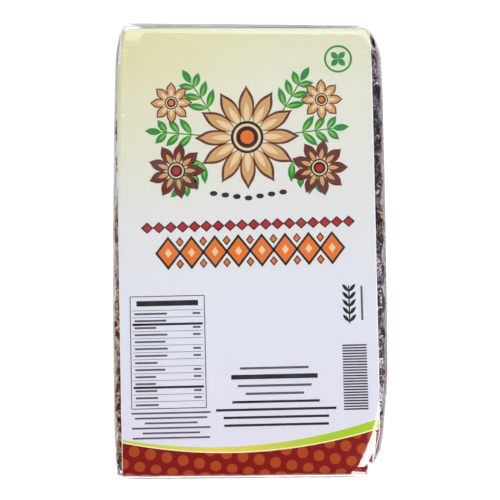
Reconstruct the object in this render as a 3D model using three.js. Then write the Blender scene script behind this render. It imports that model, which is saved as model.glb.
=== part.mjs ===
// A 500 g retail pack of pressed tamarind: a brick of pulp, a printed paper card on its face, and a
// clear film bag round both. Millimetres, +Z up. The pack lies on its back with the card upwards, the
// head of the card towards +Y. The origin is the middle of the footprint, on the surface below it.
import * as THREE from "three";
import { mergeVertices } from "three/addons/utils/BufferGeometryUtils.js";

// Pack, over the film
const packHeight = 23.5;
const sideReach = 54.8; // from the middle to the widest point of each long side
const tailReach = 91.4; // from the middle to the outside of each folded tail
const endReach = 89.8; // from the middle to each end face
const faceRadius = 4; // edges round the face
const backRadius = 3; // edges round the back

// Film bag
const filmThickness = 0.5;
const mouthGap = 0.3; // between the two layers of a folded tail
const tailHalfWidth = 41;
const tailFoot = 2.6; // height of the tails' free edge over the back
const gatherHalfHeight = 4.2; // section half way down the end face, as the film gathers to the slit
const gatherShare = 0.55;

// Card
const cardWidth = 102.2;
const cardFlare = 0.0075; // share by which the card is wider at the head than in the middle
const cardThickness = 0.4;
const cardHead = 88.2; // from the middle to the card's head edge, along the card
const cardFold = 9; // length that is folded down over the foot end
const cardTurn = THREE.MathUtils.degToRad(1.2); // the card lies a little askew
const cardEndTurn = 0.25; // share of that turn at its head and foot, which line up with the pack
const cardShift = -1;
const cardSideWrap = 1.15; // most that a side of the card bends over the edge, in radians

// Brick
const pieceGap = 0.3; // between film, card and brick
const brickRadius = 4.2; // edges of the brick
const brickRelief = 2.2; // depth of the creases between the pressed lumps
const creaseWidth = 5;
const creaseShare = 0.55; // of the relief; the rounding of each lump has domeShare
const domeShare = 0.3;
const lumpSize = 12.5; // spacing of the lumps across the brick
const lumpStretch = 1.7; // how much longer the lumps are along the brick
const seedShare = 0.3; // of the lumps have a seed that shows through the pulp
const seedSize = 5.6;
const seedRise = 0.9;

// Mesh steps
const brickStep = 4;
const brickStepUp = 3.2;
const borderStep = 0.42; // where a rounded border has its one extra line
const cardStep = 8;
const cardStepAlong = 12;
const bendSteps = 5;
const loopAcross = 11; // steps of each film loop across the face and the back
const loopUp = 3;
const loopCorner = 3;
const edgeSteps = 3; // film loops round the edges of each end face
const headStations = [83, 80, 75, 62, 40, 14]; // film loops from the head to the middle
const footStations = [83, 80.4, 74, 64, 50, 40, 14];

// How far a corner draws in from the side line, at a distance from the end face
const corners = {
  leftHead: { length: 11.4, depth: 2.2, power: 1.2 },
  rightHead: { length: 14.2, depth: 5.8, power: 2.1 },
  leftFoot: { length: 2, depth: 0.6, power: 2 },
  rightFoot: { length: 40, depth: 3, power: 1.3 },
  footSlant: { length: 9.5, depth: 4.7, power: 0.9 }, // slanted corner at the right of the foot
};

function cornerCut(corner, distance) {
  const share = Math.max(0, 1 - Math.max(0, distance) / corner.length);
  return corner.depth * share ** corner.power;
}

// Plan outline of the pack: the x of its left and right sides at a given y
function leftSide(y) {
  const bow = 1.3 * ((y - 20) / 95) ** 2;
  const cut = cornerCut(corners.leftHead, endReach - y) + cornerCut(corners.leftFoot, endReach + y);
  return -sideReach + bow + cut;
}

function rightSide(y) {
  const bow = 1.5 * ((y + 45) / 120) ** 2;
  const cut = cornerCut(corners.rightHead, endReach - y) + cornerCut(corners.rightFoot, endReach + y);
  return sideReach - bow - cut - cornerCut(corners.footSlant, endReach + y);
}

// A mesh is made from points and quads; the quads turn anticlockwise seen from outside
function solid(points, quads) {
  const index = quads.flatMap(([a, b, c, d]) => [a, b, c, a, c, d]);
  const geometry = new THREE.BufferGeometry();
  geometry.setAttribute("position", new THREE.Float32BufferAttribute(points.flat(), 3));
  geometry.setIndex(index);
  return geometry;
}

function node(name, geometry, color, roughness) {
  geometry.computeVertexNormals();
  const mesh = new THREE.Mesh(geometry, new THREE.MeshStandardMaterial({ color, roughness, metalness: 0 }));
  mesh.name = name;
  return mesh;
}

// Evenly spaced values with extra ones in the rounded border at both ends
function gridLines(from, to, step, border) {
  const inner = to - from - 2 * border;
  const count = Math.round(inner / step);
  const lines = [from, from + border * borderStep];
  for (let i = 0; i <= count; i += 1) lines.push(from + border + (inner * i) / count);
  lines.push(to - border * borderStep, to);
  return lines;
}

// Seeded value between 0 and 1 for a cell of a lattice
function draw(i, j, k, salt) {
  const value = Math.sin(i * 127.1 + j * 311.7 + k * 74.7 + salt * 53.3) * 43758.5453;
  return value - Math.floor(value);
}

// The pulp was pressed from shelled pods, so it is lumps with creases between them, longer along the
// brick. Returns the distances to the nearest and second nearest lump centre, and whether that
// nearest lump holds a seed.
function nearestLumps(x, y, z) {
  const bentX = (x + 4 * Math.sin(y / 17 + z / 9)) / lumpSize;
  const bentY = (y + 5 * Math.sin(x / 19)) / (lumpSize * lumpStretch);
  const bentZ = z / lumpSize;
  const cell = [Math.floor(bentX), Math.floor(bentY), Math.floor(bentZ)];
  let first = Infinity;
  let second = Infinity;
  let seeded = false;
  for (let n = 0; n < 27; n += 1) {
    const i = cell[0] + (n % 3) - 1;
    const j = cell[1] + (Math.floor(n / 3) % 3) - 1;
    const k = cell[2] + Math.floor(n / 9) - 1;
    const dx = i + draw(i, j, k, 1) - bentX;
    const dy = j + draw(i, j, k, 2) - bentY;
    const dz = k + draw(i, j, k, 3) - bentZ;
    const distance = Math.hypot(dx, dy, dz) * lumpSize;
    if (distance < first) {
      second = first;
      first = distance;
      seeded = draw(i, j, k, 4) < seedShare;
    } else if (distance < second) {
      second = distance;
    }
  }
  return { first, second, seeded };
}

// Height of the brick's surface over its deepest crease, at most brickRelief
function brickRise(x, y, z) {
  const { first, second, seeded } = nearestLumps(x, y, z);
  const crease = THREE.MathUtils.smoothstep(second - first, 0, creaseWidth);
  const dome = Math.max(0, 1 - (first / lumpSize) ** 2);
  const seed = seeded ? seedRise * Math.max(0, 1 - (first / seedSize) ** 2) : 0;
  return Math.min(brickRelief, brickRelief * (creaseShare * crease + domeShare * dome) + seed);
}

// Points of a box's six faces on shared grid lines, wound to face out
function boxSurface(xs, ys, zs, place) {
  const points = [];
  const quads = [];
  function face(rows, columns, cornerAt) {
    const base = points.length;
    rows.forEach((row) => columns.forEach((column) => points.push(place(...cornerAt(row, column)))));
    for (let i = 0; i + 1 < rows.length; i += 1) {
      for (let j = 0; j + 1 < columns.length; j += 1) {
        const a = base + i * columns.length + j;
        quads.push([a, a + columns.length, a + columns.length + 1, a + 1]);
      }
    }
  }
  const [x0, x1, y0, y1, z0, z1] = [xs[0], xs.at(-1), ys[0], ys.at(-1), zs[0], zs.at(-1)];
  face(xs, ys, (x, y) => [x, y, z1]);
  face(ys, xs, (y, x) => [x, y, z0]);
  face(ys, zs, (y, z) => [x1, y, z]);
  face(zs, ys, (z, y) => [x0, y, z]);
  face(zs, xs, (z, x) => [x, y1, z]);
  face(xs, zs, (x, z) => [x, y0, z]);
  return mergeVertices(solid(points, quads), 1e-4);
}

function tamarindBlock() {
  const wall = filmThickness + pieceGap;
  const underCard = wall + cardThickness + pieceGap;
  const half = new THREE.Vector3(
    sideReach - wall,
    endReach - underCard,
    (packHeight - underCard - wall) / 2,
  );
  const middle = wall + half.z;
  const core = half.clone().subScalar(brickRadius);
  const place = (x, y, z) => {
    const inside = new THREE.Vector3(x, y, z).clamp(core.clone().negate(), core);
    const out = new THREE.Vector3(x, y, z).sub(inside).normalize();
    const rise = brickRise(x, y, z) - brickRelief;
    const spot = inside.addScaledVector(out, brickRadius + rise);
    const left = leftSide(spot.y) + wall;
    const right = rightSide(spot.y) - wall;
    const across = (spot.x / half.x) * ((right - left) / 2);
    return [(left + right) / 2 + across, spot.y, spot.z + middle];
  };
  const xs = gridLines(-half.x, half.x, brickStep, brickRadius);
  const ys = gridLines(-half.y, half.y, brickStep, brickRadius);
  const zs = gridLines(-half.z, half.z, brickStepUp, brickRadius);
  return node("tamarind_block", boxSurface(xs, ys, zs, place), 0x4a2b24, 0.45);
}

// How far a sheet that bends over an edge gets past the bend's start, and how far it drops
function bendOver(length, radius) {
  const angle = Math.min(Math.max(0, length) / radius, Math.PI / 2);
  const straight = Math.max(0, length - (radius * Math.PI) / 2);
  return { along: radius * Math.sin(angle), drop: radius * (1 - Math.cos(angle)) + straight };
}

// A point of the card, across and down from its middle, at a depth under the film's outer surface
function cardPoint(across, along, depth) {
  const radius = faceRadius - depth;
  const flared = across * (1 + (cardFlare * along) / endReach);
  const flatX = cardShift + flared * Math.cos(cardTurn) - along * Math.sin(cardTurn);
  const flatY = along * Math.cos(cardTurn) + across * Math.sin(cardTurn) * cardEndTurn;
  const flatEnd = endReach - faceRadius;
  const foot = bendOver(-flatEnd - flatY, radius);
  const head = bendOver(flatY - flatEnd, radius);
  const y = THREE.MathUtils.clamp(flatY, -flatEnd, flatEnd) - foot.along + head.along;
  const leftStart = leftSide(y) + faceRadius;
  const rightStart = rightSide(y) - faceRadius;
  const longest = radius * cardSideWrap;
  const left = bendOver(Math.min(longest, leftStart - flatX), radius);
  const right = bendOver(Math.min(longest, flatX - rightStart), radius);
  const x = THREE.MathUtils.clamp(flatX, leftStart, rightStart) - left.along + right.along;
  return [x, y, packHeight - depth - foot.drop - head.drop - left.drop - right.drop];
}

// Rows of the card from its head to the end of its fold
function cardRows() {
  const flatEnd = endReach - faceRadius;
  const bend = (faceRadius - filmThickness - pieceGap) * (Math.PI / 2);
  const rows = [cardHead, (cardHead + flatEnd) / 2];
  const count = Math.round((2 * flatEnd) / cardStepAlong);
  for (let i = 0; i <= count; i += 1) rows.push(flatEnd - (2 * flatEnd * i) / count);
  for (let i = 1; i <= bendSteps; i += 1) rows.push(-flatEnd - (bend * i) / bendSteps);
  rows.push(-flatEnd - bend - cardFold);
  return rows;
}

// Quads of a sheet with two layers of rows by columns of points, the outer layer first
function sheetQuads(rows, columns) {
  const quads = [];
  const at = (i, j, layer) => (layer * rows + i) * columns + j;
  const [last, end] = [rows - 1, columns - 1];
  for (let i = 0; i < last; i += 1) {
    for (let j = 0; j < end; j += 1) {
      quads.push([at(i, j, 0), at(i + 1, j, 0), at(i + 1, j + 1, 0), at(i, j + 1, 0)]);
      quads.push([at(i, j, 1), at(i, j + 1, 1), at(i + 1, j + 1, 1), at(i + 1, j, 1)]);
    }
    quads.push([at(i, 0, 0), at(i, 0, 1), at(i + 1, 0, 1), at(i + 1, 0, 0)]);
    quads.push([at(i, end, 0), at(i + 1, end, 0), at(i + 1, end, 1), at(i, end, 1)]);
  }
  for (let j = 0; j < end; j += 1) {
    quads.push([at(0, j, 0), at(0, j + 1, 0), at(0, j + 1, 1), at(0, j, 1)]);
    quads.push([at(last, j, 0), at(last, j, 1), at(last, j + 1, 1), at(last, j + 1, 0)]);
  }
  return quads;
}

function labelCard() {
  const outside = filmThickness + pieceGap;
  const rows = cardRows();
  const columns = gridLines(-cardWidth / 2, cardWidth / 2, cardStep, faceRadius);
  const points = [];
  [outside, outside + cardThickness].forEach((depth) =>
    rows.forEach((row) => columns.forEach((column) => points.push(cardPoint(column, row, depth)))),
  );
  const geometry = solid(points, sheetQuads(rows.length, columns.length));
  return node("label_card", geometry, 0xe0dfc8, 0.55);
}

// One loop of the film round the pack: a rectangle with rounded corners, in x and height
function filmLoop(left, right, low, high, lowRadius, highRadius) {
  const limit = (high - low) / 2;
  const lower = Math.min(lowRadius, limit * 0.98);
  const upper = Math.min(highRadius, limit * 0.98);
  const loop = [];
  function arc(x, z, radius, start) {
    for (let i = 0; i <= loopCorner; i += 1) {
      const angle = start + (i / loopCorner) * (Math.PI / 2);
      loop.push([x + radius * Math.cos(angle), z + radius * Math.sin(angle)]);
    }
  }
  function straight(x0, z0, x1, z1, count) {
    for (let i = 1; i < count; i += 1) {
      loop.push([x0 + ((x1 - x0) * i) / count, z0 + ((z1 - z0) * i) / count]);
    }
  }
  arc(right - upper, high - upper, upper, 0);
  straight(right - upper, high, left + upper, high, loopAcross);
  arc(left + upper, high - upper, upper, Math.PI / 2);
  straight(left, high - upper, left, low + lower, loopUp);
  arc(left + lower, low + lower, lower, Math.PI);
  straight(left + lower, low, right - lower, low, loopAcross);
  arc(right - lower, low + lower, lower, Math.PI * 1.5);
  straight(right, low + lower, right, high - upper, loopUp);
  return loop;
}

// The film's loops from the free edge of one tail to the middle of the pack, at a depth under its
// outer surface. side is 1 for the head and -1 for the foot.
function endLoops(side, depth) {
  const loops = [];
  const middle = packHeight / 2;
  const halfTail = mouthGap / 2 + filmThickness - depth;
  const bend = tailReach - endReach - mouthGap / 2 - filmThickness;
  const tailTop = middle - bend;
  const tailWidth = tailHalfWidth - depth;
  const tailMiddle = (leftSide(side * endReach) + rightSide(side * endReach)) / 2;
  // the tail hangs down outside the end face, then bends in to the slit at mid height
  const folded = (height, angle) => {
    const [left, right] = [tailMiddle - tailWidth, tailMiddle + tailWidth];
    const flat = filmLoop(left, right, -halfTail, halfTail, halfTail, halfTail);
    const y = endReach + bend * Math.cos(angle);
    const z = height + bend * Math.sin(angle);
    loops.push(flat.map(([x, out]) => [x, side * (y + out * Math.cos(angle)), z + out * Math.sin(angle)]));
  };
  folded(tailFoot, 0);
  folded((tailFoot + tailTop) / 2, 0);
  folded(tailTop, 0);
  folded(tailTop, Math.PI / 4);
  // the end face opens out from the slit to the full section
  const end = endReach - depth;
  const upright = (y, low, high, narrow) => {
    const left = THREE.MathUtils.lerp(leftSide(side * y) + depth, tailMiddle - tailWidth, narrow);
    const right = THREE.MathUtils.lerp(rightSide(side * y) - depth, tailMiddle + tailWidth, narrow);
    const loop = filmLoop(left, right, low, high, backRadius - depth, faceRadius - depth);
    loops.push(loop.map(([x, z]) => [x, side * y, z]));
  };
  upright(end, middle - halfTail, middle + halfTail, 1);
  upright(end, middle - gatherHalfHeight, middle + gatherHalfHeight, gatherShare);
  const topRadius = faceRadius - depth;
  const lowRadius = backRadius - depth;
  for (let i = 0; i <= edgeSteps; i += 1) {
    const angle = (i / edgeSteps) * (Math.PI / 2);
    const y = end - topRadius * (1 - Math.cos(angle));
    const high = packHeight - depth - topRadius * (1 - Math.sin(angle));
    upright(y, depth + lowRadius * (1 - Math.sin(angle)), high, 0);
  }
  const stations = side > 0 ? headStations : footStations;
  stations.forEach((y) => upright(y, depth, packHeight - depth, 0));
  return loops;
}

function filmWrap() {
  const skin = (depth) => [...endLoops(1, depth), ...endLoops(-1, depth).reverse()];
  const path = [...skin(0), ...skin(filmThickness).reverse()];
  const size = path[0].length;
  const quads = [];
  path.forEach((loop, i) => {
    const next = ((i + 1) % path.length) * size;
    for (let j = 0; j < size; j += 1) {
      const k = (j + 1) % size;
      quads.push([i * size + j, i * size + k, next + k, next + j]);
    }
  });
  return node("film_wrap", solid(path.flat(), quads), 0xe6e8f2, 0.12);
}

const pack = new THREE.Group();
pack.add(tamarindBlock(), labelCard(), filmWrap());

export default pack;
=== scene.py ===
import math
import random
import bpy
from mathutils import Matrix, Quaternion, Vector
from mathutils.bvhtree import BVHTree


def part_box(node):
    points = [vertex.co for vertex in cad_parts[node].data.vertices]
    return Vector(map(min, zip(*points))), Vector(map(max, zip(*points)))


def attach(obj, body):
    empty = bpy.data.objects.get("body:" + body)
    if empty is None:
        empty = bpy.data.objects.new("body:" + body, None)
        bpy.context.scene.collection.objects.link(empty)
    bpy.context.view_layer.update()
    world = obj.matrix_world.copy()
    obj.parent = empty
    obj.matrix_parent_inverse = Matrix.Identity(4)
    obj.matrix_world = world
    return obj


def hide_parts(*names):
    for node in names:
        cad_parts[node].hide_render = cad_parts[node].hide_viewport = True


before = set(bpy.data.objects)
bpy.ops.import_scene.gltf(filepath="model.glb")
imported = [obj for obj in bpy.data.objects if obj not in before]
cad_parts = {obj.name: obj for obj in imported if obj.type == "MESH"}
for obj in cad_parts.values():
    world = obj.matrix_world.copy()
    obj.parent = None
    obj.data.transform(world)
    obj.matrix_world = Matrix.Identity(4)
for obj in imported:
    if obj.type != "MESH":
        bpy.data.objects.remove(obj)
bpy.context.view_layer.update()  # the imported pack: brick, card and film
mm = 0.001
scene = bpy.context.scene
dice = random.Random(7)


# Small tools

def deselectAll():
    if bpy.context.mode != "OBJECT":
        bpy.ops.object.mode_set(mode="OBJECT")
    bpy.ops.object.select_all(action="DESELECT")


def pick(*pieces):  # selects these alone, the last one active
    deselectAll()
    for piece in pieces:
        piece.select_set(True)
    bpy.context.view_layer.objects.active = pieces[-1]


def settle(piece, name=None):  # moves the piece's place into its mesh
    pick(piece)
    bpy.ops.object.transform_apply(location=True, rotation=True, scale=True)
    if name:
        piece.name = name
        piece.data.name = name
    return piece


def modify(piece, kind, **settings):  # adds a modifier and applies it
    pick(piece)
    modifier = piece.modifiers.new(kind, kind)
    for key, value in settings.items():
        setattr(modifier, key, value)
    bpy.ops.object.modifier_apply(modifier=modifier.name)


def joined(pieces, name):
    pick(*pieces)
    if len(pieces) > 1:
        bpy.ops.object.join()
    return settle(bpy.context.object, name)


def copyOfNode(nodeName, name):  # a merged copy of a CAD solid, the start of a finer piece
    piece = bpy.data.objects.new(name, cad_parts[nodeName].data.copy())
    piece.data.materials.clear()
    scene.collection.objects.link(piece)
    pick(piece)
    bpy.ops.mesh.customdata_custom_splitnormals_clear()
    bpy.ops.object.mode_set(mode="EDIT")
    bpy.ops.mesh.select_all(action="SELECT")
    bpy.ops.mesh.remove_doubles(threshold=0.002 * mm)
    bpy.ops.mesh.tris_convert_to_quads(face_threshold=math.radians(50), shape_threshold=math.radians(60))
    bpy.ops.object.mode_set(mode="OBJECT")
    return piece


def smooth(piece):
    pick(piece)
    bpy.ops.object.shade_smooth()


def roughen(piece, kind, size, strength, mid=0.5, group="", **look):  # displaces by a procedural texture
    texture = bpy.data.textures.new(piece.name + kind, kind)
    texture.noise_scale = size
    for key, value in look.items():
        setattr(texture, key, value)
    modify(piece, "DISPLACE", texture=texture, texture_coords="LOCAL", strength=strength, mid_level=mid,
           vertex_group=group)
    bpy.data.textures.remove(texture)


def linear(hexColour):  # sRGB hex to the linear colour that shaders take
    parts = [int(hexColour[i:i + 2], 16) / 255 for i in (1, 3, 5)]
    return [c / 12.92 if c <= 0.04045 else ((c + 0.055) / 1.055) ** 2.4 for c in parts] + [1.0]


def addNode(tree, kind, settings=None, links=None):  # a node with its settings and what feeds it
    node = tree.nodes.new("ShaderNode" + kind)
    for key, value in (settings or {}).items():
        if isinstance(key, str) and key[0].islower():
            setattr(node, key, value)
        else:
            node.inputs[key].default_value = value
    for key, socket in (links or {}).items():
        tree.links.new(socket, node.inputs[key])
    return node


def newMaterial(name):
    material = bpy.data.materials.new(name)
    material.use_nodes = True
    material.node_tree.nodes.clear()
    return material, material.node_tree


def ramp(tree, factor, stops):  # a colour ramp of (place, hex) stops
    node = addNode(tree, "ValToRGB", links={"Fac": factor})
    elements = node.color_ramp.elements
    while len(elements) < len(stops):
        elements.new(0.5)
    for element, (place, colour) in zip(elements, stops):
        element.position = place
        element.color = linear(colour)
    return node.outputs["Color"]


def mixed(tree, share, first, second):  # second over first, by share; each a socket or a colour
    node = addNode(tree, "Mix", {"data_type": "RGBA"}, {0: share})
    for key, colour in ((6, first), (7, second)):
        if isinstance(colour, list):
            node.inputs[key].default_value = colour
        else:
            tree.links.new(colour, node.inputs[key])
    return node.outputs[2]


def reckon(tree, operation, *values):  # a Math node on sockets and numbers
    node = addNode(tree, "Math", {"operation": operation})
    for i, value in enumerate(values):
        if isinstance(value, (int, float)):
            node.inputs[i].default_value = value
        else:
            tree.links.new(value, node.inputs[i])
    return node.outputs[0]


def below(tree, value, limit, blur=0.12):  # 1 where value is under limit, with a printed edge's softness
    lowered = reckon(tree, "SUBTRACT", limit, value)
    edge = addNode(tree, "MapRange", {"From Min": -blur, "From Max": blur}, {"Value": lowered})
    return edge.outputs[0]


def dress(piece, material, slot, *nodes):  # finish, body and CAD nodes of a piece
    if material:
        piece.data.materials.append(material)
    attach(piece, "root")
    if nodes:
        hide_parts(*nodes)


# Camera, at the photograph's angle: over the pack, a little towards its foot

cameraPlace = {"target": (0.1, -1.3, 23), "distance": 747, "tilt": 6.2, "viewWidth": 198}


def addCamera():
    tilt = math.radians(cameraPlace["tilt"])
    target = Vector(cameraPlace["target"]) * mm
    distance = cameraPlace["distance"] * mm
    place = target + Vector((0, -math.sin(tilt), math.cos(tilt))) * distance
    bpy.ops.object.camera_add(location=place, rotation=(tilt, 0, 0))
    camera = bpy.context.object
    camera.data.lens = camera.data.sensor_width * cameraPlace["distance"] / cameraPlace["viewWidth"]
    camera.data.clip_start = 0.01
    scene.camera = camera


# Studio: pale floor, white surround and soft boxes

studio = {
    "floorSize": 4.0,
    "floorColour": "#7C7C7E",
    "floorGlow": 0.92,
    "surround": 0.12,
    "boxes": [  # name, place in m, side in m, watts
        ("keyBox", (0.668, -0.36, 0.72), 0.46, 8.4),
        ("headBox", (-0.1, 1.8, 1.75), 2.7, 55.0),
        ("sideBox", (-1.0, -0.85, 0.55), 0.5, 8.5),
    ],
}


def addStudio():
    bpy.ops.mesh.primitive_plane_add(size=studio["floorSize"])
    floor = bpy.context.object
    floor.name = "studioFloor"
    material, tree = newMaterial("backlitAcrylicTable")
    shader = addNode(tree, "BsdfPrincipled", {
        "Base Color": linear(studio["floorColour"]), "Roughness": 0.9,
        "Emission Color": (1, 1, 1, 1), "Emission Strength": studio["floorGlow"]})
    addNode(tree, "OutputMaterial", links={"Surface": shader.outputs[0]})
    floor.data.materials.append(material)
    world = bpy.data.worlds.new("whiteSurround")
    world.use_nodes = True
    world.node_tree.nodes["Background"].inputs["Color"].default_value = (1, 1, 1, 1)
    world.node_tree.nodes["Background"].inputs["Strength"].default_value = studio["surround"]
    scene.world = world
    for name, place, side, watts in studio["boxes"]:
        bpy.ops.object.light_add(type="AREA", location=place)
        box = bpy.context.object
        box.name = name
        box.data.shape = "SQUARE"
        box.data.size = side
        box.data.energy = watts
        box.rotation_euler = (-Vector(place)).to_track_quat("-Z", "Y").to_euler()
    scene.view_settings.view_transform = "Standard"
    scene.view_settings.gamma = 0.9  # the contrast of a catalogue photograph
    scene.cycles.transparent_max_bounces = 24  # the folded film is many clear layers


# Pressed tamarind pulp

brickLook = {
    "noduleSize": 5.0, "noduleDepth": 1.2,
    "grainSize": 1.4, "grainDepth": 0.35,
    "strings": 420, "stringRadius": 0.11, "stringStep": 1.8,
    "seeds": 48, "seedLength": 10.5,
    "scraps": 240, "scrapSize": 5.0,
    "lipHeight": 20.4,  # the card starts over this
    "widened": 1.013,
    "leftward": -0.12,  # the bag is fuller on its left side
}

# How the shapes are drawn out to the bag's ends, which lie a little askew
drawnOut = {"foot": 1.011, "footSkew": 0.0058, "head": 1.005, "halfWidth": 54}

# The slanted corner was knocked in, so that the face slopes down to it
slump = {"point": (53.5, -72.4), "out": (0.928, -0.371), "start": 6.6, "ease": 2.2, "slope": 0.33,
         "height": 23.5}


def sunkBy(inward):  # how far the face has sunk, at a distance in from the slanted corner's edge
    run = max(0.0, slump["start"] - max(0.0, inward))
    eased = min(run, slump["ease"])
    return slump["slope"] * (eased ** 2 / (2 * slump["ease"]) + run - eased)


def settleShape(piece, headSkew=0.0):  # fills the bag's ends, and lowers the slanted corner by height
    for vertex in piece.data.vertices:
        x, y, z = vertex.co / mm
        askew = x * abs(y) / drawnOut["halfWidth"]
        if y < 0:
            vertex.co.y = (y * drawnOut["foot"] + drawnOut["footSkew"] * askew) * mm
        else:
            vertex.co.y = (y * drawnOut["head"] - headSkew * askew) * mm
    for vertex in piece.data.vertices:
        x, y, z = vertex.co / mm
        inward = (slump["point"][0] - x) * slump["out"][0] + (slump["point"][1] - y) * slump["out"][1]
        vertex.co.z = z * (1 - sunkBy(inward) / slump["height"]) * mm


def pulpMaterial():
    # tamarind pulp, pressed and sticky: lumps from nearly black aubergine to red brown, some of them
    # still in their tan inner skin, with pale strings and a wet gloss that breaks up on the grain; painted on
    # it are a lavender-grey sheen of the film over the pulp and shade in the gaps between lumps
    material, tree = newMaterial("pressedTamarindPulp")
    place = addNode(tree, "TexCoord").outputs["Object"]
    warp = addNode(tree, "TexNoise", {"Scale": 1 / (6 * mm), "Detail": 4}, {"Vector": place})
    pull = addNode(tree, "VectorMath", {"operation": "MULTIPLY_ADD", 1: (5 * mm,) * 3},
                   {0: warp.outputs["Color"], 2: place})
    long = addNode(tree, "Mapping", {"Scale": (1 / (6 * mm), 1 / (9 * mm), 1 / (6 * mm))},
                   {"Vector": pull.outputs[0]})
    lumps = addNode(tree, "TexVoronoi", {"Scale": 1.0}, {"Vector": long.outputs[0]})
    tone = addNode(tree, "SeparateXYZ", links={0: lumps.outputs["Color"]})
    spot = addNode(tree, "SeparateXYZ", links={0: place})
    drier = addNode(tree, "MapRange", {"From Min": 30 * mm, "From Max": -45 * mm, "To Max": 0.9},
                    {"Value": spot.outputs["X"]})
    lower = addNode(tree, "MapRange", {"From Min": 45 * mm, "From Max": 5 * mm}, {"Value": spot.outputs["Y"]})
    dry = reckon(tree, "MULTIPLY", drier.outputs[0], lower.outputs[0])
    mottle = addNode(tree, "TexNoise", {"Scale": 1 / (1.1 * mm), "Detail": 4, "Roughness": 0.6},
                     {"Vector": place})
    swing = addNode(tree, "MapRange", {"From Min": 0.3, "From Max": 0.7, "To Min": -0.36, "To Max": 0.5},
                    {"Value": mottle.outputs["Fac"]})
    share = reckon(tree, "MULTIPLY", tone.outputs["X"], 0.6)
    # painted shade: noise patches darkened where shadow would lie in the gaps between lumps
    gapShadeNoise = addNode(tree, "TexNoise", {"Scale": 1 / (3.2 * mm), "Detail": 1}, {"Vector": place})
    shade = addNode(tree, "MapRange", {"From Min": 0.5, "From Max": 0.6, "To Max": -0.5},
                    {"Value": gapShadeNoise.outputs["Fac"]})
    # painted sheen: the pulp is lighter near the top of the sides, where the film's reflection falls, and
    # darker low down
    sheenByHeight = addNode(tree, "MapRange",
                   {"From Min": 17 * mm, "From Max": 10 * mm, "To Min": 0.08, "To Max": -0.2},
                   {"Value": spot.outputs["Z"]})
    level = reckon(tree, "ADD", share, swing.outputs[0])
    # the lower term paints a lighter sheen toward the foot; the other two are the painted gap shade and
    # height sheen
    for part in (reckon(tree, "MULTIPLY", lower.outputs[0], 0.1), shade.outputs[0], sheenByHeight.outputs[0]):
        level = reckon(tree, "ADD", level, part)
    # painted sheen: the wet ramp's pale lavender-grey stops stand in for the film's reflection over the dark
    # pulp
    wetPulpAndSheen = ramp(tree, level, [(0.0, "#080406"), (0.22, "#1A1015"), (0.36, "#43343E"), (0.52, "#76646F"),
                                   (0.7, "#A292A0"), (1.0, "#E6DCD8")])
    dryColour = ramp(tree, level, [(0.0, "#0C0302"), (0.22, "#34180D"), (0.38, "#774626"), (0.52, "#B98C60"),
                                   (0.7, "#DDBB92"), (1.0, "#F6E8D2")])
    colour = mixed(tree, dry, wetPulpAndSheen, dryColour)
    bent = addNode(tree, "Mapping", {"Scale": (1 / (0.9 * mm), 1 / (6 * mm), 1 / (1.4 * mm))},
                   {"Vector": place})
    streaks = addNode(tree, "TexNoise", {"Scale": 1.0, "Detail": 3, "Distortion": 1.6},
                      {"Vector": bent.outputs[0]})
    strand = addNode(tree, "MapRange", {"From Min": 0.64, "From Max": 0.7, "To Max": 0.6},
                     {"Value": streaks.outputs["Fac"]})
    colour = mixed(tree, strand.outputs[0], colour, linear("#9C7757"))
    wet = addNode(tree, "TexNoise", {"Scale": 1 / (4 * mm), "Detail": 3}, {"Vector": place})
    gloss = addNode(tree, "MapRange", {"From Min": 0.35, "From Max": 0.65, "To Min": 0.25, "To Max": 0.65},
                    {"Value": wet.outputs["Fac"]})
    grain = addNode(tree, "TexNoise", {"Scale": 1 / (0.9 * mm), "Detail": 4}, {"Vector": place})
    bump = addNode(tree, "Bump", {"Strength": 0.6, "Distance": 0.4 * mm}, {"Height": grain.outputs["Fac"]})
    shader = addNode(tree, "BsdfPrincipled", {"IOR": 1.45},
                     {"Base Color": colour, "Roughness": gloss.outputs[0], "Normal": bump.outputs[0]})
    addNode(tree, "OutputMaterial", links={"Surface": shader.outputs[0]})
    return material


def plainMaterial(name, dark, light, size, roughness, bumpHeight):  # mottled between two colours
    material, tree = newMaterial(name)
    place = addNode(tree, "TexCoord").outputs["Object"]
    mottle = addNode(tree, "TexNoise", {"Scale": 1 / (size * mm), "Detail": 4}, {"Vector": place})
    colour = ramp(tree, mottle.outputs["Fac"], [(0.35, dark), (0.65, light)])
    bump = addNode(tree, "Bump", {"Strength": 0.5, "Distance": bumpHeight * mm},
                   {"Height": mottle.outputs["Fac"]})
    shader = addNode(tree, "BsdfPrincipled", {"Roughness": roughness, "IOR": 1.5},
                     {"Base Color": colour, "Normal": bump.outputs[0]})
    addNode(tree, "OutputMaterial", links={"Surface": shader.outputs[0]})
    return material


def addBrick():
    brick = copyOfNode("tamarind_block", "tamarind_brick")
    brick.scale.x = brickLook["widened"]
    brick.location.x = brickLook["leftward"] * mm
    settle(brick)
    settleShape(brick)
    modify(brick, "SUBSURF", levels=2, render_levels=2)
    roughen(brick, "VORONOI", brickLook["noduleSize"] * mm, brickLook["noduleDepth"] * mm, 0.75)
    roughen(brick, "CLOUDS", brickLook["grainSize"] * mm, brickLook["grainDepth"] * mm, 0.6, noise_depth=3)
    smooth(brick)
    dress(brick, pulpMaterial(), "tamarind_pulp", "tamarind_block")
    return brick


def surfaceOf(piece):  # the piece's surface, for finding the nearest point on it
    corners = [vertex.co for vertex in piece.data.vertices]
    return BVHTree.FromPolygons(corners, [face.vertices for face in piece.data.polygons])


def tuck(piece, bag):  # brings what would stick out of the bag back inside it
    for vertex in piece.data.vertices:
        spot, out, _, _ = bag.find_nearest(vertex.co)
        if (vertex.co - spot).dot(out) > -0.2 * mm:
            vertex.co = spot - out * 0.2 * mm


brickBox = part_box("tamarind_block")


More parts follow.
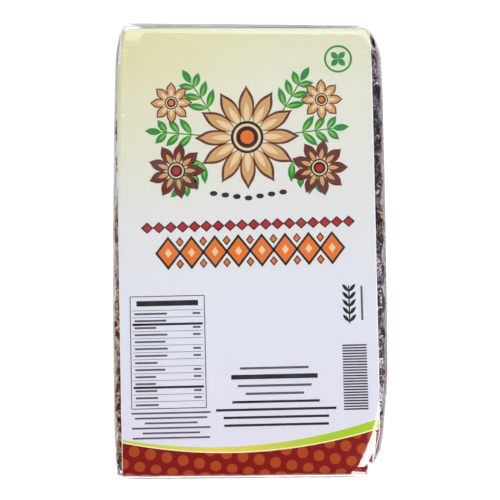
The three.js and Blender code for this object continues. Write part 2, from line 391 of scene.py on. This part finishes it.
def brickSpot(skin):  # a random point of the brick's sides, ends and back, and the way out
    low, high = brickBox
    while True:
        x = dice.uniform(low.x, high.x)
        y = dice.uniform(low.y, high.y)
        side = dice.random()
        if side < 0.34:
            start = Vector((x, y, low.z - 0.01))
        elif side < 0.86:
            start = Vector((dice.choice((low.x - 0.01, high.x + 0.01)), y, dice.uniform(low.z, high.z)))
        else:
            start = Vector((x, dice.choice((low.y - 0.01, high.y + 0.01)), dice.uniform(low.z, high.z)))
        spot, out, _, _ = skin.find_nearest(start)
        if spot.z < brickLook["lipHeight"] * mm:
            return spot, out


def addStrings(skin, bag):  # the tan strings of the pods, lying along the pressed pulp
    curve = bpy.data.curves.new("podStrings", "CURVE")
    curve.dimensions = "3D"
    curve.bevel_depth = brickLook["stringRadius"] * mm
    curve.bevel_resolution = 1
    curve.use_fill_caps = True
    for _ in range(brickLook["strings"]):
        spot, out = brickSpot(skin)
        while spot.x > 48 * mm and dice.random() < 0.75:  # the right side is wetter, with fewer of them
            spot, out = brickSpot(skin)
        way = Vector((dice.gauss(0, 0.5), dice.gauss(0, 1), dice.gauss(0, 0.35)))
        points = []
        for _ in range(dice.randint(5, 14)):
            points.append(spot + out * brickLook["stringRadius"] * 0.7 * mm)
            way = way - out * way.dot(out) + Vector([dice.gauss(0, 0.35) for _ in range(3)])
            way.normalize()
            spot, out, _, _ = skin.find_nearest(spot + way * brickLook["stringStep"] * mm)
        spline = curve.splines.new("NURBS")
        spline.points.add(len(points) - 1)
        for point, place in zip(spline.points, points):
            point.co = (*place, 1)
            point.radius = dice.uniform(0.7, 1.4)
        spline.use_endpoint_u = True
        spline.order_u = 3
        spline.resolution_u = 3
    strings = bpy.data.objects.new("pod_strings", curve)
    scene.collection.objects.link(strings)
    pick(strings)
    bpy.ops.object.convert(target="MESH")
    strings = bpy.context.object
    tuck(strings, bag)
    smooth(strings)
    dress(strings, plainMaterial("podString", "#7A5A44", "#E2C8A6", 5, 0.6, 0.1), "tamarind_pulp")


def placeCopies(model, spots, name):  # a copy of the model at each spot, its top facing out, all joined
    copies = []
    for spot, out, turn, size in spots:
        copy = bpy.data.objects.new(name, model.data.copy())
        scene.collection.objects.link(copy)
        facing = out.to_track_quat("Z", "Y") @ Quaternion((0, 0, 1), turn)
        copy.matrix_world = Matrix.LocRotScale(spot, facing, size)
        copies.append(copy)
    bpy.data.objects.remove(model)
    return joined(copies, name)


def addSeeds(skin, bag):  # seeds left in the pulp, squarish and flat, sunk to their upper side
    long = brickLook["seedLength"] * mm
    bpy.ops.mesh.primitive_cube_add(size=1, scale=(long, long * 0.78, long * 0.46))
    model = settle(bpy.context.object)
    modify(model, "SUBSURF", levels=3, render_levels=3)
    spots = []
    for _ in range(brickLook["seeds"]):
        spot, out = brickSpot(skin)
        while spot.z > 15 * mm:
            spot, out = brickSpot(skin)
        sunk = spot - out * long * 0.19
        spots.append((sunk, out, dice.uniform(0, math.tau), Vector([dice.uniform(0.8, 1.05)] * 3)))
    seeds = placeCopies(model, spots, "tamarind_seeds")
    tuck(seeds, bag)
    smooth(seeds)
    # hard polished seed coat: dark chestnut with a clear highlight
    dress(seeds, plainMaterial("seedCoat", "#2A100C", "#4E2418", 5, 0.18, 0.05), "tamarind_pulp")


def addScraps(skin, bag):  # bits of the brittle shell, flat and ragged
    size = brickLook["scrapSize"] * mm
    pieces = []
    for kind in range(4):
        bpy.ops.mesh.primitive_circle_add(vertices=9, radius=size / 2, fill_type="TRIFAN")
        model = bpy.context.object
        for vertex in model.data.vertices:
            vertex.co *= dice.uniform(0.55, 1.1)
            vertex.co.z += dice.uniform(-0.06, 0.06) * size
        modify(model, "SUBSURF", subdivision_type="SIMPLE", levels=1, render_levels=1)
        modify(model, "SOLIDIFY", thickness=0.35 * mm, offset=0)
        spots = []
        for _ in range(brickLook["scraps"] // 4):
            spot, out = brickSpot(skin)
            scale = Vector((dice.uniform(0.35, 1.2), dice.uniform(0.3, 0.9), 1))
            spots.append((spot - out * 0.05 * mm, out, dice.uniform(0, math.tau), scale))
        pieces.append(placeCopies(model, spots, "shellScraps"))
    scraps = joined(pieces, "shell_scraps")
    tuck(scraps, bag)
    # dry brown pod shell, scurfy and dull
    dress(scraps, plainMaterial("podShell", "#8A6342", "#DCC4A2", 2.5, 0.75, 0.15), "tamarind_pulp")


# Paper card and its print. The print is laid out in millimetres from the card's middle, as if the
# card lay straight, and then turned with the card.

cardLook = {
    "middle": (-1.0, 0.0), "turn": 1.8,  # of the foot band
    "printMiddle": (-1.0, -1.6), "printTurn": 1.3,
    "bandEdge": -78.6,  # lowest point of the foot band's curved edge
    "bandCurve": 0.0025,
    "bandMiddle": -11.0,
    "limeWidth": (0.8, 3.4),  # at the left and at the right
    "dotStep": 6.5,
    "dotTurn": -12,
    "dotRadius": 2.15,
    "layer": 0.02,  # thickness of an ink
    "rim": 0.4,  # unprinted white along the cut edge, widened to paint the film's highlight there too
    "cutWidth": 0.5,  # faces narrower than this are the cut edge
}

inks = {
    "leaf": ("leafGreenInk", "#2A8F3E"),
    "sprig": ("youngGreenInk", "#86B93A"),
    "tan": ("tanInk", "#CDA36B"),
    "sand": ("sandInk", "#E4CBA0"),
    "chestnut": ("chestnutInk", "#6A3021"),
    "umber": ("umberInk", "#2B1712"),
    "red": ("redInk", "#B3212A"),
    "orange": ("orangeInk", "#E0761F"),
    "black": ("blackInk", "#1E1B1D"),
    "grey": ("greyInk", "#5B5A62"),
}
printed = {ink: [] for ink in inks}


def paperGround(tree, place):  # cream at the head, turning to pale lavender at the foot
    along = addNode(tree, "MapRange", {"From Min": -90.0, "From Max": 90.0}, {"Value": place.outputs["Y"]})
    ground = ramp(tree, along.outputs[0], [(0.0, "#DEDAE5"), (0.35, "#DEE1E8"), (0.6, "#E0E1DC"),
                                           (0.84, "#E3E3D2"), (1.0, "#DEDEB8")])
    warm = addNode(tree, "MapRange", {"From Min": 10.0, "From Max": -54.0, "To Max": 0.6},
                   {"Value": place.outputs["X"]})
    high = addNode(tree, "MapRange", {"From Min": 10.0, "From Max": 80.0}, {"Value": place.outputs["Y"]})
    share = reckon(tree, "MULTIPLY", warm.outputs[0], high.outputs[0])
    cream = mixed(tree, share, ground, linear("#DCD79A"))
    # painted shade: the ground greys a little toward the right, against the key box lighting that side most
    right = addNode(tree, "MapRange", {"From Min": -20.0, "From Max": 50.0, "To Max": 0.12},
                    {"Value": place.outputs["X"]})
    return mixed(tree, right.outputs[0], cream, linear("#B8BCC0"))


def dottedRed(tree, x, y):  # dark red with round dots in a slanting lattice
    def times(first, second):
        return reckon(tree, "MULTIPLY", first, second)

    def fromMiddle(places):  # how far off the middle of its cell
        return reckon(tree, "SUBTRACT", reckon(tree, "FRACT", places), 0.5)

    turn = math.radians(cardLook["dotTurn"])
    step = cardLook["dotStep"]
    rowStep = step * math.sqrt(3) / 2
    slantX = reckon(tree, "ADD", times(x, math.cos(turn)), times(y, math.sin(turn)))
    slantY = reckon(tree, "SUBTRACT", times(y, math.cos(turn)), times(x, math.sin(turn)))
    rows = reckon(tree, "DIVIDE", slantY, rowStep)
    odd = times(reckon(tree, "FLOORED_MODULO", reckon(tree, "FLOOR", rows), 2.0), 0.5)
    columns = reckon(tree, "ADD", reckon(tree, "DIVIDE", slantX, step), odd)
    offX = times(fromMiddle(columns), step)
    offY = times(fromMiddle(rows), rowStep)
    distance = reckon(tree, "SQRT", reckon(tree, "ADD", times(offX, offX), times(offY, offY)))
    dot = below(tree, distance, cardLook["dotRadius"], 0.1)
    return mixed(tree, dot, linear("#860B08"), linear("#AE4A16"))


def cardMaterial():
    # coated label paper, offset printed: even colours and a slight wave from the pulp underneath; the
    # film clings to it, so that the paper's own surface hardly shines
    material, tree = newMaterial("printedPaper")
    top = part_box("label_card")[1].z
    middle = cardLook["middle"]
    turn = math.radians(cardLook["turn"])
    around = addNode(tree, "TexCoord").outputs["Object"]
    flat = addNode(tree, "Mapping", {
        "vector_type": "TEXTURE", "Location": (middle[0] * mm, middle[1] * mm, top),
        "Rotation": (0, 0, turn), "Scale": (mm, mm, mm)}, {"Vector": around})
    place = addNode(tree, "SeparateXYZ", links={0: flat.outputs[0]})
    x, y = place.outputs["X"], place.outputs["Y"]
    folded = addNode(tree, "MapRange", {"From Min": -83.0, "From Max": -86.0}, {"Value": y})
    down = reckon(tree, "MULTIPLY", folded.outputs[0], reckon(tree, "MINIMUM", place.outputs["Z"], 0.0))
    y = reckon(tree, "ADD", y, down)
    offMiddle = reckon(tree, "SUBTRACT", x, cardLook["bandMiddle"])
    bow = reckon(tree, "MULTIPLY", reckon(tree, "MULTIPLY", offMiddle, offMiddle), cardLook["bandCurve"])
    over = reckon(tree, "SUBTRACT", reckon(tree, "SUBTRACT", y, bow), cardLook["bandEdge"])
    narrow, wide = cardLook["limeWidth"]
    lime = addNode(tree, "MapRange",
                   {"From Min": -52.0, "From Max": 50.0, "To Min": -narrow, "To Max": -wide},
                   {"Value": x}).outputs[0]
    pale = reckon(tree, "SUBTRACT", lime, 0.5)
    limeTone = addNode(tree, "MapRange", {"From Min": -52.0, "From Max": 30.0}, {"Value": x}).outputs[0]
    limeColour = ramp(tree, limeTone, [(0.0, "#B5D22C"), (0.45, "#E3D25A"), (1.0, "#A8CB2A")])
    colour = mixed(tree, below(tree, over, 0.0), paperGround(tree, place), limeColour)
    colour = mixed(tree, below(tree, over, lime), colour, linear("#F3EBC8"))
    colour = mixed(tree, below(tree, over, pale), colour, dottedRed(tree, x, y))
    wave = addNode(tree, "TexNoise", {"Scale": 1 / (26 * mm), "Detail": 2}, {"Vector": around})
    bump = addNode(tree, "Bump", {"Strength": 0.35, "Distance": 1.2 * mm}, {"Height": wave.outputs["Fac"]})
    shader = addNode(tree, "BsdfPrincipled", {"Roughness": 0.5, "Specular IOR Level": 0.15},
                     {"Base Color": colour, "Normal": bump.outputs[0]})
    addNode(tree, "OutputMaterial", links={"Surface": shader.outputs[0]})
    return material


def solidInk(name, colour):  # offset ink under the clinging film: flat, hardly glossy
    material, tree = newMaterial(name)
    place = addNode(tree, "TexCoord").outputs["Object"]
    tone = addNode(tree, "TexNoise", {"Scale": 1 / (9 * mm), "Detail": 6}, {"Vector": place})
    share = addNode(tree, "MapRange", {"From Min": 0.3, "From Max": 0.7, "To Max": 0.16},
                    {"Value": tone.outputs["Fac"]}).outputs[0]
    lighter = [c + (1 - c) * 0.25 for c in linear(colour)[:3]] + [1.0]
    shade = mixed(tree, share, linear(colour), lighter)
    shader = addNode(tree, "BsdfPrincipled", {"Roughness": 0.5, "Specular IOR Level": 0.15},
                     {"Base Color": shade})
    addNode(tree, "OutputMaterial", links={"Surface": shader.outputs[0]})
    return material


def addCard():
    card = copyOfNode("label_card", "paper_card")
    settleShape(card)
    bpy.ops.object.mode_set(mode="EDIT")
    bpy.ops.mesh.select_all(action="DESELECT")
    bpy.ops.mesh.select_mode(type="EDGE")
    bpy.ops.mesh.edges_select_sharp(sharpness=math.radians(50))
    bpy.ops.transform.edge_crease(value=1)
    bpy.ops.object.mode_set(mode="OBJECT")
    cutPaper = plainMaterial("cutPaper", "#ECEAEC", "#FAF9F7", 3, 0.7, 0.02)
    card.data.materials.append(cardMaterial())
    card.data.materials.append(cutPaper)
    for face in card.data.polygons:
        corners = [card.data.vertices[i].co for i in face.vertices]
        shortest = min((a - b).length for a, b in zip(corners, corners[1:] + corners[:1]))
        face.material_index = 1 if shortest < cardLook["cutWidth"] * mm else 0
    modify(card, "SUBSURF", levels=2, render_levels=2)
    pick(card)
    bpy.ops.object.shade_smooth_by_angle(angle=math.radians(40))
    dress(card, None, "printed_paper", "label_card")
    addRim(card, cutPaper)


def addRim(card, cutPaper):  # the white along the card's cut edge, raised over the print: the paper's own white, and a painted highlight of the film along the edge
    pick(card)
    bpy.ops.object.mode_set(mode="EDIT")
    bpy.ops.mesh.select_mode(type="FACE")
    bpy.ops.mesh.select_all(action="DESELECT")
    card.active_material_index = 1
    bpy.ops.object.material_slot_select()
    bpy.ops.mesh.duplicate()
    bpy.ops.mesh.separate(type="SELECTED")
    bpy.ops.object.mode_set(mode="OBJECT")
    rim = [piece for piece in bpy.context.selected_objects if piece != card][0]
    rim.name = "card_rim"
    rim.data.name = "card_rim"
    rim.data.materials.clear()
    modify(rim, "SOLIDIFY", thickness=cardLook["rim"] * mm, offset=-1)
    rim.location.z = 0.5 * cardLook["layer"] * mm
    settle(rim)
    dress(rim, cutPaper, "printed_paper")


def keepShape(shape, ink, x, y, turn, layer):
    shape.rotation_euler.z = math.radians(turn)
    shape.location = (x * mm, y * mm, layer * cardLook["layer"] * mm)
    printed[ink].append(shape)


def bar(ink, x, y, width, height, turn=0, layer=1):
    bpy.ops.mesh.primitive_plane_add(size=1)
    bpy.context.object.scale = (width * mm, height * mm, 1)
    keepShape(bpy.context.object, ink, x, y, turn, layer)


def disc(ink, x, y, width, height=None, turn=0, layer=1, corners=40):
    bpy.ops.mesh.primitive_circle_add(vertices=corners, radius=0.5, fill_type="NGON")
    bpy.context.object.scale = (width * mm, (height or width) * mm, 1)
    keepShape(bpy.context.object, ink, x, y, turn, layer)


def ring(ink, x, y, width, line, layer=1):
    bpy.ops.mesh.primitive_circle_add(vertices=48, radius=width / 2 * mm, fill_type="NGON")
    bpy.ops.object.mode_set(mode="EDIT")
    bpy.ops.mesh.select_all(action="SELECT")
    bpy.ops.mesh.inset(thickness=line * mm)
    bpy.ops.mesh.delete(type="FACE")
    bpy.ops.object.mode_set(mode="OBJECT")
    keepShape(bpy.context.object, ink, x, y, 0, layer)


def petal(ink, x, y, length, width, turn=0, layer=1):  # a lens with two points, its root at x, y
    bpy.ops.curve.primitive_bezier_circle_add(radius=0.5)
    curve = bpy.context.object
    curve.data.dimensions = "2D"
    curve.data.fill_mode = "BOTH"
    curve.data.resolution_u = 8
    for point in curve.data.splines[0].bezier_points:
        if abs(point.co.x) > 0.1:
            point.handle_left_type = "VECTOR"
            point.handle_right_type = "VECTOR"
    curve.scale = (length * mm, width * mm, 1)
    bpy.ops.object.convert(target="MESH")
    angle = math.radians(turn)
    middleX = x + math.cos(angle) * length / 2
    middleY = y + math.sin(angle) * length / 2
    keepShape(bpy.context.object, ink, middleX, middleY, turn, layer)


def rosette(x, y, reach, petals, outer, inner, core):  # a folk rosette: petals round a ringed core
    for i in range(petals):
        turn = 360 * i / petals
        angle = math.radians(turn)
        root = reach * 0.22
        rootX, rootY = x + math.cos(angle) * root, y + math.sin(angle) * root
        width = 2 * math.pi * reach * 0.6 / petals
        petal("chestnut", rootX, rootY, reach - root, width * 0.95, turn, 2)
        petal(outer, rootX, rootY, (reach - root) * 0.9, width * 0.72, turn, 3)
        petal(inner, rootX, rootY, (reach - root) * 0.6, width * 0.34, turn, 4)
    disc("umber", x, y, reach * 0.62, layer=5)
    ring("sand", x, y, reach * 0.52, reach * 0.05, layer=6)
    disc(core, x, y, reach * 0.26, layer=6)


def sprig(x, y, turn, length, leaves):  # a stem with pairs of almond leaves
    angle = math.radians(turn)
    for i in range(leaves):
        along = length * (i + 1) / (leaves + 0.4)
        rootX, rootY = x + math.cos(angle) * along, y + math.sin(angle) * along
        leaf = 8.5 - 3.0 * i / leaves
        for side in (-1, 1):
            petal("leaf", rootX, rootY, leaf, 2.9, turn + side * 48, 1)
            petal("sprig", rootX, rootY, leaf * 0.72, 0.9, turn + side * 48, 2)
    petal("leaf", x + math.cos(angle) * length, y + math.sin(angle) * length, 7, 2.8, turn, 1)
    middle = length / 2
    bar("leaf", x + math.cos(angle) * middle, y + math.sin(angle) * middle, length, 0.5, turn, 1)


def printOrnament():  # rosettes among leafy sprigs, in the picture's place
    x, y = 1.0, 45.6
    for side, turns in ((-1, (122, 174, 226)), (1, (58, 6, -46))):
        for turn in turns:
            angle = math.radians(turn)
            sprig(x + side * 8 + 9 * math.cos(angle), y + 9 * math.sin(angle), turn, 17, 3)
    rosette(x, y, 21, 12, "tan", "sand", "orange")
    for side in (-1, 1):
        rosette(x + side * 28.5, y - 13, 11.5, 9, "chestnut", "tan", "red")
        rosette(x + side * 30, y + 14.5, 8.5, 8, "tan", "sand", "orange")
    for step in range(-3, 4):
        disc("umber", x + 4.6 * step, y - 24.5 + abs(step) * 0.7, 3.0, 2.0, layer=2)


def printFriezes():  # a fine red frieze over a bold orange one
    friezeRise = 0.012  # they climb a little more than the rest
    count = 18
    for i in range(count):
        x = -39.5 + 80 * i / (count - 1)
        y = 10.4 + friezeRise * x
        disc("umber", x, y, 5.0, 4.6, 0, 1, corners=4)
        disc("red", x, y, 3.7, 3.3, 0, 2, corners=4)
    count = 8
    for i in range(count):
        x = -31.3 + 65 * i / (count - 1)
        y = 0.1 + friezeRise * x
        disc("black", x, y, 10.4, 13.4, 0, 1, corners=4)
        disc("orange", x, y, 8.2, 10.6, 0, 2, corners=4)
        disc("sand", x, y, 2.8, 3.8, 0, 3, corners=4)
        if i < count - 1:
            half = 32.5 / (count - 1)
            for side in (-1, 1):
                disc("black", x + half, y + side * 4.4, 3.2, 4.0, 0, 1, corners=4)
                disc("orange", x + half, y + side * 4.4, 2.1, 2.6, 0, 2, corners=4)


def textLines(ink, x, y, width, rows, step, height, centred):  # even bars where small print would be
    for row in range(rows):
        length = width * dice.uniform(0.62, 1.0)
        middle = x if centred else x - (width - length) / 2
        bar(ink, middle, y - row * step, length, height)


def printPanels():  # a ruled panel, plain bars, and an even block of stripes
    left, right, top, foot = -46.7, -17.4, -17.3, -61.5
    middle = (left + right) / 2
    width = right - left
    for y in (top, foot):
        bar("grey", middle, y, width, 0.35)
    for x in (left, right):
        bar("grey", x, (top + foot) / 2, 0.35, top - foot)
    bar("black", middle, top - 2.8, width - 5, 2.1)
    rows = 14
    for row in range(rows):
        y = top - 6.9 - row * 2.76
        heavy = row in (2, 11)
        bar("black" if heavy else "grey", middle, y + 1.35, width - 1.6, 0.9 if heavy else 0.18)
        length = dice.uniform(7, 13)
        bar("grey", left + 1.6 + length / 2, y, length, 0.75)
        if row % 3 != 1:
            bar("grey", right - 3.2, y, 3.0, 0.75)
    textLines("grey", middle + 0.7, -63.3, 33, 6, 1.95, 0.7, True)
    heading = (("grey", -46.5, 27, 0.9), ("black", -49.9, 34, 1.8), ("grey", -53.4, 29, 0.9),
               ("grey", -56.5, 23, 0.9))
    for ink, y, width, height in heading:
        bar(ink, 9.6, y, width, height)
    textLines("black", 10.0, -59.7, 48, 4, 3.03, 0.95, True)
    for i in range(24):
        bar("black", 41.4, -38.3 - i * 1.09, 9.6, 0.55)


def printMarks():  # a small green flower at the head, and a grey spray at the side
    ring("leaf", 38.1, 76.5, 11.2, 0.8)
    for i in range(4):
        petal("leaf", 38.1, 76.5, 4.0, 2.4, 45 + 90 * i, 1)
    bar("black", 39.8, -22.2, 0.5, 15)
    for step in range(5):
        for turn in (50, 130):
            petal("black", 39.8, -29.2 + 3 * step, 4.2, 1.3, turn, 1)
    bar("grey", 44.8, -21.7, 0.8, 13.5)


def addPrint():
    printOrnament()
    printFriezes()
    printPanels()
    printMarks()
    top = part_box("label_card")[1].z
    for ink, shapes in printed.items():
        name, colour = inks[ink]
        piece = joined(shapes, "print_" + ink)
        piece.rotation_euler.z = math.radians(cardLook["printTurn"])
        piece.location = (*(place * mm for place in cardLook["printMiddle"]), top)
        settle(piece)
        modify(piece, "SOLIDIFY", thickness=cardLook["layer"] * mm, offset=-1)
        dress(piece, solidInk(name, colour), "printed_paper")


# Clear film bag

filmLook = {
    "thickness": 0.07,
    "step": 1.3,
    "edge": 3.7,  # rounding of the long edges
    "cornerRound": 1.3,  # and of the four corners, seen from above
    "halfWidth": 54,
    "endReach": 89.7,
    "headSkew": 0.006,  # the head end lies a little askew
    "height": 23.4,
    "wrap": 0.3,  # share by which the film is drawn in on the pulp
    "wrinkle": 0.5,
    "crumple": 1.3,  # deeper creases at the four corners
    "tailHalf": 41, "slit": 11.75, "tailFoot": 2.6,
}

# How far each corner draws in: length, depth, power, as in the solid
cornerCuts = {
    "leftHead": (11.4, 2.2, 1.2), "rightHead": (14.2, 5.8, 2.1),
    "leftFoot": (2, 0.6, 2), "rightFoot": (40, 3, 1.3), "footSlant": (9.5, 4.7, 0.9),
}


def cornerCut(corner, distance):
    length, depth, power = cornerCuts[corner]
    return depth * max(0.0, 1 - max(0.0, distance) / length) ** power


def sideLines(y):  # x of the pack's left and right sides
    head, foot = 89.8 - y, 89.8 + y
    left = -54.8 + 1.3 * ((y - 20) / 95) ** 2 + cornerCut("leftHead", head) + cornerCut("leftFoot", foot)
    right = 54.8 - 1.5 * ((y + 45) / 120) ** 2 - cornerCut("rightHead", head) - cornerCut("rightFoot", foot)
    return left, right - cornerCut("footSlant", foot)


def filmMaterial():
    # clear polypropylene film: almost no colour, a sharp gloss that the crinkles break up, and a painted
    # reflection, a pale diffuse colour where it stands off the pulp and is seen edge on: grey at the sides,
    # whiter in the folded ends
    material, tree = newMaterial("clearPolypropyleneFilm")
    place = addNode(tree, "TexCoord").outputs["Object"]
    spot = addNode(tree, "SeparateXYZ", links={0: place})
    outward = reckon(tree, "ABSOLUTE", spot.outputs["X"])
    beside = addNode(tree, "MapRange", {"From Min": 48.5 * mm, "From Max": 51.5 * mm},
                     {"Value": outward}).outputs[0]
    lower = addNode(tree, "MapRange", {"From Min": 21.5 * mm, "From Max": 19.5 * mm},
                    {"Value": spot.outputs["Z"]}).outputs[0]
    above = addNode(tree, "MapRange", {"From Min": 0.5 * mm, "From Max": 2.5 * mm},
                    {"Value": spot.outputs["Z"]}).outputs[0]
    loosely = reckon(tree, "MULTIPLY", reckon(tree, "MAXIMUM", beside, lower), above)
    crinkle = addNode(tree, "TexNoise", {"Scale": 1 / (2.6 * mm), "Detail": 3, "Distortion": 1.2},
                      {"Vector": place})
    force = addNode(tree, "MapRange", {"To Min": 0.15, "To Max": 0.9}, {"Value": loosely}).outputs[0]
    bump = addNode(tree, "Bump", {"Distance": 0.35 * mm},
                   {"Height": crinkle.outputs["Fac"], "Strength": force})
    clear = addNode(tree, "BsdfTransparent", {"Color": linear("#FEFEFF")})
    gloss = addNode(tree, "BsdfGlossy", {"Color": linear("#FFFFFF"), "Roughness": 0.13},
                    {"Normal": bump.outputs[0]})
    edgeOn = addNode(tree, "LayerWeight", {"Blend": 0.5}, {"Normal": bump.outputs[0]}).outputs["Facing"]
    # IOR 1.49 face on; held down at grazing, 0.6 for the real 0.96, so that pulp and print stay readable
    mirror = reckon(tree, "MULTIPLY_ADD", reckon(tree, "POWER", edgeOn, 5.0), 0.6, 0.04)
    shine = addNode(tree, "MixShader", links={0: mirror, 1: clear.outputs[0], 2: gloss.outputs[0]})
    turned = addNode(tree, "LayerWeight", {"Blend": 0.5}).outputs["Facing"]
    rim = addNode(tree, "MapRange", {"From Min": 0.5, "From Max": 0.95, "To Max": 0.5}, {"Value": turned})
    along = addNode(tree, "Mapping", {"Scale": (1 / (9 * mm), 1 / (22 * mm), 1 / (9 * mm))},
                    {"Vector": place})
    patches = addNode(tree, "TexNoise", {"Scale": 1.0, "Detail": 2}, {"Vector": along.outputs[0]})
    loose = addNode(tree, "MapRange", {"From Min": 0.4, "From Max": 0.62, "To Min": 0.5},
                    {"Value": patches.outputs["Fac"]})
    endward = reckon(tree, "ABSOLUTE", spot.outputs["Y"])
    ends = addNode(tree, "MapRange", {"From Min": 86.5 * mm, "From Max": 88.5 * mm}, {"Value": endward})
    slack = addNode(tree, "MapRange", {"From Min": -50 * mm, "From Max": 20 * mm, "To Min": 0.4},
                    {"Value": spot.outputs["X"]})
    standing = reckon(tree, "MULTIPLY", loose.outputs[0], slack.outputs[0])
    standing = reckon(tree, "MAXIMUM", standing, ends.outputs[0])
    # painted reflection: a pale diffuse colour in place of the film's glare where it is seen edge on and
    # stands loose
    rimGlareShare = reckon(tree, "MULTIPLY", reckon(tree, "MULTIPLY", rim.outputs[0], standing), loosely)
    rimGlareColour = mixed(tree, ends.outputs[0], linear("#B9B8C6"), linear("#EDECE6"))
    paintedRimGlare = addNode(tree, "BsdfDiffuse", links={"Color": rimGlareColour})
    skin = addNode(tree, "MixShader", links={0: rimGlareShare, 1: shine.outputs[0], 2: paintedRimGlare.outputs[0]})
    addNode(tree, "OutputMaterial", links={"Surface": skin.outputs[0]})
    return material


def weigh(piece, name, share):  # a vertex group from a function of each vertex's place in mm
    group = piece.vertex_groups.new(name=name)
    for vertex in piece.data.vertices:
        weight = share(*(vertex.co / mm))
        if weight > 0:
            group.add([vertex.index], weight, "REPLACE")


def bentIn(distance, radius):  # how far a rounded edge draws in, at a distance from where it ends
    if distance >= radius:
        return 0.0
    return radius - math.sqrt(radius ** 2 - (radius - max(0.0, distance)) ** 2)


def filmSkin(brick):  # the bag's walls, drawn in on what they hold
    reach, height, edge = filmLook["endReach"], filmLook["height"], filmLook["edge"]
    half = filmLook["halfWidth"]
    size = (2 * half * mm, 2 * reach * mm, height * mm)
    bpy.ops.mesh.primitive_cube_add(size=1, location=(0, 0, height / 2 * mm), scale=size)
    skin = settle(bpy.context.object, "film_bag")
    bpy.ops.object.mode_set(mode="EDIT")
    bpy.ops.mesh.select_all(action="SELECT")
    bpy.ops.mesh.bevel(offset=edge * mm, segments=6, affect="EDGES")
    bpy.ops.object.mode_set(mode="OBJECT")
    modify(skin, "REMESH", mode="VOXEL", voxel_size=filmLook["step"] * mm)
    for vertex in skin.data.vertices:
        x, y = vertex.co.x / mm, vertex.co.y / mm
        left, right = sideLines(y)
        toEnd = reach - abs(y)
        newHalf = (right - left) / 2 - bentIn(toEnd, filmLook["cornerRound"])
        vertex.co.x = ((left + right) / 2 + x / (half - bentIn(toEnd, edge)) * newHalf) * mm
    settleShape(skin, filmLook["headSkew"])
    under = filmLook["height"] - 2.2
    weigh(skin, "drawnIn", lambda x, y, z: filmLook["wrap"] * min(1, max(0, (under - z) / 2)))
    modify(skin, "SHRINKWRAP", target=brick, wrap_method="NEAREST_SURFACEPOINT", wrap_mode="OUTSIDE_SURFACE",
           offset=0.35 * mm, vertex_group="drawnIn")
    weigh(skin, "loose", lambda x, y, z: min(1, max(0.12, (under - z) / 3)))
    modify(skin, "SMOOTH", factor=0.5, iterations=2, vertex_group="loose")
    weigh(skin, "corners", lambda x, y, z: max(0, 1 - (54.5 - abs(x) + reach - abs(y)) / 16))
    roughen(skin, "CLOUDS", 11 * mm, filmLook["wrinkle"] * mm, 1, "loose", noise_depth=1)
    roughen(skin, "STUCCI", 5 * mm, filmLook["crumple"] * mm, 1, "corners", turbulence=8)
    skin.vertex_groups.clear()
    return skin


def foldSheet(corners, count, name):  # a thin sheet between four corners, in count by count steps
    bpy.ops.mesh.primitive_grid_add(x_subdivisions=count[0], y_subdivisions=count[1], size=2)
    sheet = settle(bpy.context.object, name)
    for vertex in sheet.data.vertices:
        across, up = (vertex.co.x + 1) / 2, (vertex.co.y + 1) / 2
        low = Vector(corners[0]).lerp(Vector(corners[1]), across)
        high = Vector(corners[3]).lerp(Vector(corners[2]), across)
        vertex.co = low.lerp(high, up) * mm
    return sheet


def endFolds(side):  # at one end: an upper and a lower flap, each drawn in from the pack's width to the tail, and the sealed tail folded down
    reach, slit, tail = filmLook["endReach"], filmLook["slit"], filmLook["tailHalf"]
    left, right = sideLines(side * 89.0)
    middle = (left + right) / 2
    parts = []
    y = (reach + 0.12) * side
    for low, high, depth in ((21.2, slit + 0.2, 0.1), (2.4, slit - 0.2, 0.2)):
        flap = foldSheet([(left + 2, y, low), (right - 2, y, low), (middle + tail, y + side * depth, high),
                          (middle - tail, y + side * depth, high)], (70, 9), "endFlap")
        roughen(flap, "CLOUDS", 8 * mm, 0.35 * mm, 0.5)
        parts.append(flap)
    for layer in (0, 1):
        bend = 0.3 + 0.2 * layer
        sheet = foldSheet([(middle - tail, 0, 0), (middle + tail, 0, 0), (middle + tail, 0, 1),
                           (middle - tail, 0, 1)], (68, 40), "tailLayer")
        length = bend * math.pi / 2 + slit - bend - filmLook["tailFoot"]
        for vertex in sheet.data.vertices:
            x, run = vertex.co.x / mm, vertex.co.z / mm * length
            angle = min(run / bend, math.pi / 2)
            straight = max(0.0, run - bend * math.pi / 2)
            sealed = min(1.0, max(0.0, (run - length + 6.0) / 1.2))
            rib = 0.05 * math.sin(run * math.tau / 0.9) * sealed
            sway = 0.05 * math.sin(x / 5.3 + 2 * layer) * (1 - sealed)
            out = 0.7 * bend * math.sin(angle) + rib + sway - 0.06 * sealed * (2 * layer - 1)
            drop = bend * (1 - math.cos(angle)) + straight
            vertex.co = Vector((x, side * (reach + 0.05 + out), slit - drop + 0.15 * math.sin(x / 11))) * mm
        parts.append(sheet)
    return parts


def addFilm(brick):
    film = filmMaterial()
    skin = filmSkin(brick)
    parts = endFolds(1) + endFolds(-1)
    seam = foldSheet([(-7, -86, 0.3), (6, -86, 0.3), (5, 86, 0.3), (-8, 86, 0.3)], (12, 130), "backSeam")
    roughen(seam, "CLOUDS", 12 * mm, 0.3 * mm, 0.5)
    folds = joined(parts + [seam], "film_folds")
    settleShape(folds, filmLook["headSkew"])
    bag = surfaceOf(skin)
    for piece, nodes in ((skin, ["film_wrap"]), (folds, [])):
        modify(piece, "SOLIDIFY", thickness=filmLook["thickness"] * mm, offset=-1)
        smooth(piece)
        dress(piece, film, "clear_film", *nodes)
    return bag


addCamera()
addStudio()
print("camera and studio stand")
brick = addBrick()
bag = addFilm(brick)
tuck(brick, bag)
print("brick is pressed and wrapped")
brickSkin = surfaceOf(brick)
addStrings(brickSkin, bag)
addSeeds(brickSkin, bag)
addScraps(brickSkin, bag)
print("strings, seeds and scraps are in")
addCard()
addPrint()
print("card is printed")
